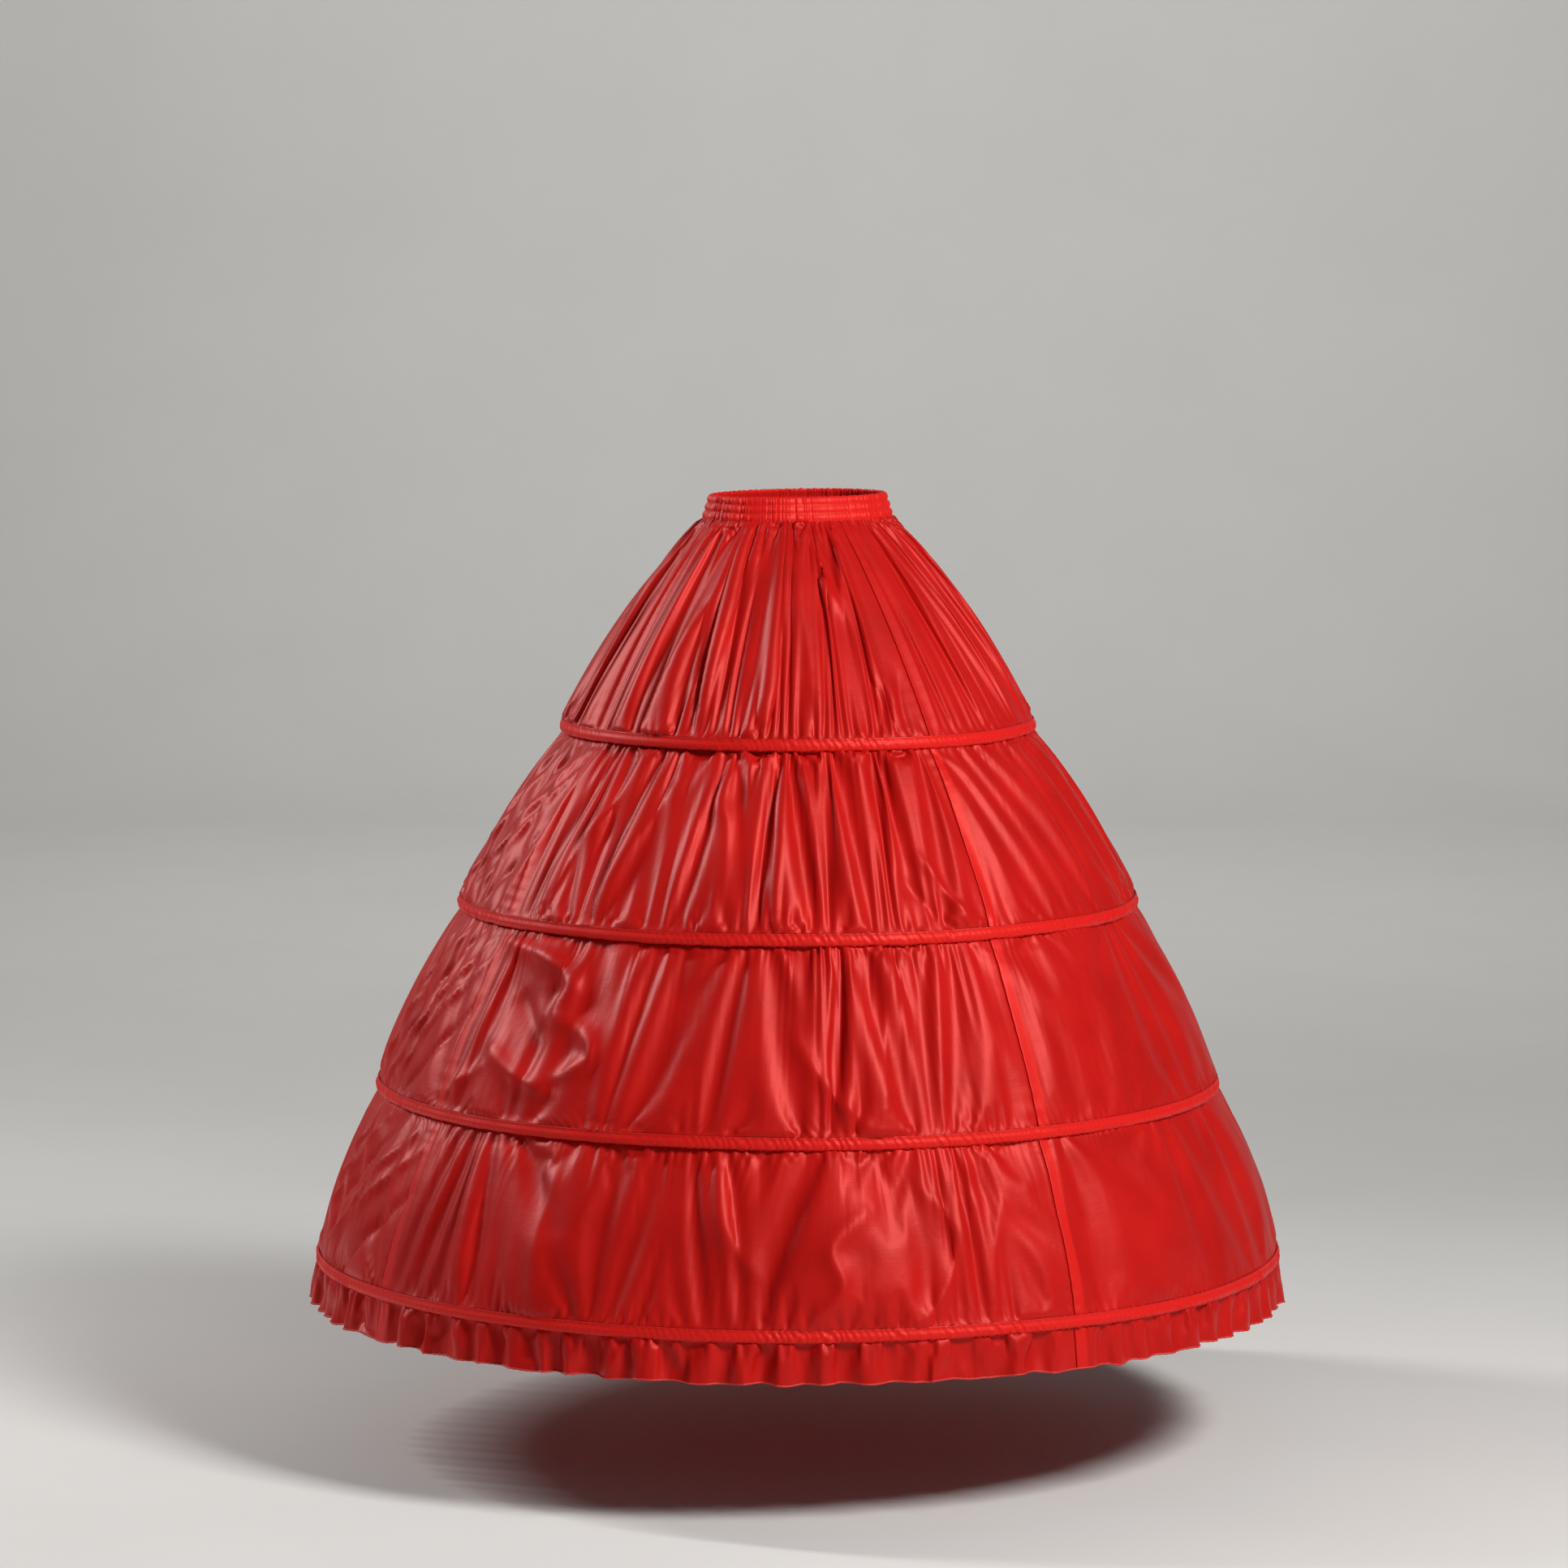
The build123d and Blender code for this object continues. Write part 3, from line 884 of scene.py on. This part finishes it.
# %% [markdown]
# ## Casings
# A casing is a folded strip of the same cloth with the hoop inside: a rounded lip that stands
# proud, and a flat edge above it that is stitched through the tiers. Where the cloth is gathered
# the stitching ropes it into slanting ridges; on the wearer's right it lies smooth.

# %% Casing section and finish
CASING_SECTION = [(0.3, 10.0), (0.7, 9.0), (0.75, 7.6), (1.1, 5.6), (2.1, 3.6), (2.75, 1.0),
                  (2.7, -1.6), (1.9, -3.9), (0.5, -4.9), (-1.0, -4.5), (-1.6, -2.0), (-1.7, 2.0),
                  (-1.6, 6.0), (-1.2, 9.6), (-0.4, 10.3)]
CASING_GAP = 44 * MM
CASING_COLUMN = 2.3 * MM
joiner_low, joiner_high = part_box("hoop_joiner_4")
JOINER_ANGLE = math.atan2(joiner_low[1] + joiner_high[1], joiner_low[0] + joiner_high[0])
RIDGE_PITCH = 8.6 * MM
RIDGE_HEIGHT = 1.05
LIP_CLEAR = 0.35             # lifts the lip, in millimetres, clear of the steel inside
RUCHING = {-180: 0.35, -160: 0.15, -140: 0.5, -120: 1.0, -60: 1.0, 0: 0.7, 60: 0.8, 150: 0.9}


def casing(hoop):
    """One casing, and the line of its stitches."""
    radius, height = hoop_radius[hoop], hoop_z[hoop]
    gap = CASING_GAP / radius
    columns = round(radius * (TURN - gap) / CASING_COLUMN)
    angle = JOINER_ANGLE + np.linspace(gap / 2, TURN - gap / 2, columns)
    section = np.array(CASING_SECTION) * MM
    rng = np.random.default_rng(300 + hoop)
    around = (angle + math.pi) % TURN - math.pi
    ruched = round_the_skirt(RUCHING, around)
    length = angle * radius
    angles, out = np.meshgrid(angle, section[:, 0])
    rise = np.meshgrid(angle, section[:, 1])[1]
    face = soft_step(out, -1.0 * MM, 2.0 * MM)
    wander = 1.6 * slow_waves(rng, around, 30, 140)
    phase = length / RIDGE_PITCH * TURN + wander
    ridge = np.cos(phase + rise / (7 * MM) * 3.2) + 0.45 * np.cos(1.7 * phase - rise / (5 * MM))
    strength = ruched * np.clip(0.75 + 0.45 * slow_waves(rng, around, 8, 60), 0.15, 1.5)
    out = out + face * (ridge * strength * RIDGE_HEIGHT + LIP_CLEAR) * MM
    out = out + face * 0.35 * MM * slow_waves(rng, around, 10, 60)
    edge = 0.3 * MM * slow_waves(rng, around, 20, 120)
    edge = edge - 0.9 * MM * ruched * (0.8 + np.cos(phase + 0.6))
    rise = rise + edge * soft_step(-rise, -2 * MM, 4 * MM) + 0.7 * MM * slow_waves(rng, around, 2, 9)
    grid = np.stack([(radius + out) * np.cos(angles), (radius + out) * np.sin(angles),
                     height + rise], -1)
    girth = np.cumsum(np.r_[0, np.hypot(*np.diff(section, axis=0).T)])
    along = np.broadcast_to(length, grid.shape[:2])
    down = np.broadcast_to(girth[:, None] + 0.9 * hoop, grid.shape[:2])
    piece = cloth_piece(f"hoop_casing_{hoop + 1}_cloth", grid, along, down, 1.0, casing_finish)
    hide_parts(f"hoop_casing_{hoop + 1}")
    seam_row = grid[1] + np.stack([0.15 * MM * np.cos(angle), 0.15 * MM * np.sin(angle),
                                   0 * angle], -1)
    return piece, seam_row


casing_seams = []
for hoop in range(HOOPS):
    piece, seam_row = casing(hoop)
    casing_seams.append(seam_row)
    print(piece.name, "faces", len(piece.data.polygons))

# %% [markdown]
# ## Waistband
# The band is doubled cloth with three elastics inside. Each elastic's channel rounds out between
# its stitch lines, and the elastic draws the cloth into fine upright wrinkles. The real band is cut
# as long as the top tier's upper edge, because the two are sewn together before the elastic goes in;
# here it is made at its gathered size.

# %% Waistband
BAND_COLUMNS = 840
BAND_FLARE = 9 * MM
BAND_WALL_HALF = 0.8 * MM
BAND_CHANNELS = 3
BAND_SWELL = 1.5 * MM        # how far a channel rounds out over its elastic
ELASTIC_COVER = 1.0 * MM     # the least distance from the band's middle to its cloth
WRINKLES_ROUND = 118
WRINKLE_HEIGHT = 0.6 * MM
ROWS_OUTSIDE, ROWS_INSIDE = 28, 14
STITCH_LEVELS = (0.015, 1 / 3, 2 / 3, 0.985)


def waistband():
    """The band, and the lines of its four rows of stitches."""
    rng = np.random.default_rng(500)
    angle = np.linspace(-math.pi, math.pi, BAND_COLUMNS, endpoint=False)
    outside = np.linspace(1, 0, ROWS_OUTSIDE)
    inside = np.r_[0.012, np.linspace(0, 1, ROWS_INSIDE)[1:]]
    share = np.r_[outside, inside]
    side = np.r_[np.ones(ROWS_OUTSIDE - 1), 0, -np.ones(ROWS_INSIDE)]
    swell = BAND_SWELL * np.abs(np.sin(BAND_CHANNELS * math.pi * share)) ** 0.75
    angles, down = np.meshgrid(angle, share)
    phase = WRINKLES_ROUND * angles + 2.4 * slow_waves(rng, angles, 15, 90)
    fine = np.cos(phase + 1.6 * slow_waves(rng, angles, 5, 30) * down)
    fine = fine + 0.6 * np.cos(1.63 * phase + 2 * down)
    strength = np.clip(0.7 + 0.5 * slow_waves(rng, angles, 6, 30), 0.2, 1.4)
    wrinkle = WRINKLE_HEIGHT * fine * strength * (0.45 + swell / BAND_SWELL)[:, None]
    thick = np.maximum((BAND_WALL_HALF + swell)[:, None] + wrinkle, ELASTIC_COVER)
    top_x = band_foot_x - BAND_FLARE - BAND_WALL_HALF
    top_y = band_foot_y - BAND_FLARE - BAND_WALL_HALF
    place = np.stack([top_x * np.cos(angles), top_y * np.sin(angles), 0 * angles], -1)
    normal = np.stack([top_y * np.cos(angles), top_x * np.sin(angles), 0 * angles], -1)
    normal /= np.linalg.norm(normal, axis=-1, keepdims=True)
    grid = place + (BAND_FLARE * down + side[:, None] * thick)[..., None] * normal
    edge = 0.35 * MM * slow_waves(rng, angles, 30, 120) * (down < 0.02)
    grid[..., 2] = band_high[2] - band_height * down + edge - 0.4 * MM * (down < 0.02)
    grid[..., 2] -= 1.2 * MM * (down > 0.98)
    along = angles * (top_x + top_y) / 2
    piece = cloth_piece("waistband_cloth", grid, along, down * band_height + 7, 1.0,
                        casing_finish, all_round=True)
    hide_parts("waistband")
    rows = [np.argmin(np.abs(outside - level)) for level in STITCH_LEVELS]
    lifted = 0.25 * MM * normal[0]
    return piece, [grid[row] + lifted for row in rows]


band, band_seams = waistband()
print("waistband faces", len(band.data.polygons))

# %% [markdown]
# ## Stitches and hem
# A lockstitch shows as short dashes that dip at each end. A dashed line in the cloth's material
# would do from afar, but real thread stands proud and catches the light. So one stitch is a small
# sphere drawn out along its length, modelled once and repeated along each seam.

# %% Stitches
STITCH_PITCH = 3.6 * MM
STITCH_LENGTH = 2.7 * MM
STITCH_HALF = 0.26 * MM


def deselect_all():
    bpy.ops.object.select_all(action="DESELECT")


def one_stitch():
    """Points and faces of a stitch that lies along +X."""
    deselect_all()
    bpy.ops.mesh.primitive_uv_sphere_add(segments=5, ring_count=3, radius=1)
    stitch = bpy.context.object
    bpy.ops.object.mode_set(mode="EDIT")
    bpy.ops.transform.resize(value=(STITCH_HALF, STITCH_HALF, STITCH_LENGTH / 2),
                             center_override=(0, 0, 0))
    bpy.ops.transform.rotate(value=math.pi / 2, orient_axis="Y", center_override=(0, 0, 0))
    bpy.ops.object.mode_set(mode="OBJECT")
    points = np.array([v.co for v in stitch.data.vertices])
    faces = [tuple(p.vertices) for p in stitch.data.polygons]
    bpy.data.objects.remove(stitch)
    return points, faces


def stitch_row(name, path, closed, stitch):
    """A row of stitches along a path, in one mesh."""
    dash, dash_faces = stitch
    if closed:
        path = np.concatenate([path, path[:1]])
    run = np.r_[0, np.cumsum(np.linalg.norm(np.diff(path, axis=0), axis=1))]
    count = int(run[-1] / STITCH_PITCH)
    at = (np.arange(count) + 0.5) * STITCH_PITCH
    spots = np.stack([np.interp(at, run, path[:, k]) for k in range(3)], -1)
    ahead = np.stack([np.interp(at + STITCH_LENGTH / 2, run, path[:, k]) for k in range(3)], -1)
    along = ahead - spots
    along /= np.linalg.norm(along, axis=1, keepdims=True)
    side = np.cross(along, [0, 0, 1.0])
    side /= np.linalg.norm(side, axis=1, keepdims=True)
    up = np.cross(side, along)
    points = (spots[:, None] + dash[None, :, :1] * along[:, None]
              + dash[None, :, 1:2] * side[:, None] + dash[None, :, 2:] * up[:, None])
    faces = [[i + n * len(dash) for i in face] for n in range(count) for face in dash_faces]
    mesh = bpy.data.meshes.new(name)
    mesh.from_pydata(points.reshape(-1, 3).tolist(), [], faces)
    mesh.polygons.foreach_set("use_smooth", [True] * len(mesh.polygons))
    mesh.materials.append(thread_finish)
    piece = bpy.data.objects.new(name, mesh)
    bpy.context.scene.collection.objects.link(piece)
    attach(piece, "root")
    return piece


stitch = one_stitch()
seams = [stitch_row(f"casing_stitches_{n + 1}", row, False, stitch)
         for n, row in enumerate(casing_seams)]
seams += [stitch_row(f"band_stitches_{n + 1}", row, True, stitch)
          for n, row in enumerate(band_seams)]
print("stitch rows", len(seams), "faces", sum(len(s.data.polygons) for s in seams))

# %% [markdown]
# The hem is overlocked: a ribbon of looped thread wraps the cut edge. Each loop is too small to
# model by itself, so the edge is one thin cord that follows the ruffle's last row and swells once
# every three points, as the loops do.

# %% Overlocked hem
HEM_CORD = 0.95 * MM
HEM_SIDES = 6
LOOP_SWELL = 0.22
LOOP_FLAT = 1.3              # the cord is taller than it is thick


def overlocked_hem():
    line = rings[RUFFLE][-1]
    ahead = np.roll(line, -1, 0) - np.roll(line, 1, 0)
    ahead /= np.linalg.norm(ahead, axis=1, keepdims=True)
    up = np.array([0, 0, 1.0]) - ahead[:, 2:] * ahead
    up /= np.linalg.norm(up, axis=1, keepdims=True)
    side = np.cross(ahead, up)
    turns = np.linspace(0, TURN, HEM_SIDES, endpoint=False)[:, None]
    loops = 1 + LOOP_SWELL * np.cos(np.arange(len(line)) * TURN / 3)[None]
    girth = (HEM_CORD * loops)[..., None]
    grid = line[None] + girth * (np.cos(turns)[..., None] * side[None]
                                 + LOOP_FLAT * np.sin(turns)[..., None] * up[None])
    along = np.broadcast_to(np.arange(len(line)) * 2.3 * MM, grid.shape[:2])
    down = np.broadcast_to(turns * HEM_CORD, grid.shape[:2])
    piece = cloth_piece("hem_overlock", grid, along, down, 1.0, thread_finish, all_round=True,
                        tube=True)
    return piece


overlocked_hem()
made = [o for o in bpy.data.objects if o.type == "MESH" and "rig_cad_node" not in o]
print("triangles added", sum(sum(len(p.vertices) - 2 for p in o.data.polygons) for o in made))

# %% [markdown]
# ## Floor
# A plain pale floor, below the hem as when the petticoat is worn. Behind the skirt it turns up
# into a wall through a large curve, so that no edge shows. The back edge of a plane is extruded
# in small steps along that curve.

# %% Floor
FLOOR_GAP = 0.18
FLOOR_HALF = 7.0
COVE_RADIUS = 1.6
COVE_STEPS = 12
WALL_HEIGHT = 7.0


def pale_floor():
    deselect_all()
    level = hem_z - FLOOR_GAP
    bpy.ops.mesh.primitive_plane_add(size=2 * FLOOR_HALF, location=(0, 0, level))
    floor = bpy.context.object
    floor.name = "floor"
    bpy.ops.object.transform_apply(location=True, rotation=False, scale=False)
    bpy.ops.object.mode_set(mode="EDIT")
    bpy.ops.mesh.select_all(action="DESELECT")
    bpy.ops.object.mode_set(mode="OBJECT")
    for edge in floor.data.edges:
        edge.select = all(floor.data.vertices[i].co.y > FLOOR_HALF - 0.01 for i in edge.vertices)
    for vertex in floor.data.vertices:
        vertex.select = vertex.co.y > FLOOR_HALF - 0.01
    bpy.ops.object.mode_set(mode="EDIT")
    bpy.ops.mesh.select_mode(type="EDGE")
    for step in range(COVE_STEPS):
        before, after = (math.pi / 2 * (step + i) / COVE_STEPS for i in (0, 1))
        move = (0, COVE_RADIUS * (math.sin(after) - math.sin(before)),
                COVE_RADIUS * (math.cos(before) - math.cos(after)))
        bpy.ops.mesh.extrude_region_move(TRANSFORM_OT_translate={"value": move})
    bpy.ops.mesh.extrude_region_move(TRANSFORM_OT_translate={"value": (0, 0, WALL_HEIGHT)})
    bpy.ops.object.mode_set(mode="OBJECT")
    bpy.ops.object.shade_smooth()
    material, tree, shader = new_material("pale_paper")
    place = add_node(tree, "ShaderNodeTexCoord")
    grain = add_node(tree, "ShaderNodeTexNoise", Vector=place.outputs["Object"], Scale=3.0)
    tint = add_node(tree, "ShaderNodeMix", {"data_type": "RGBA"}, i0=grain.outputs["Fac"],
                    i6=linear("#dcdad6"), i7=linear("#e2e0dc"))
    tree.links.new(tint.outputs["Result"], shader.inputs["Base Color"])
    shader.inputs["Roughness"].default_value = 0.8
    floor.data.materials.append(material)
    floor.data.transform(Matrix.Rotation(-VIEW_TURN, 4, "Z"))


pale_floor()
print("floor at", round(hem_z - FLOOR_GAP, 3))
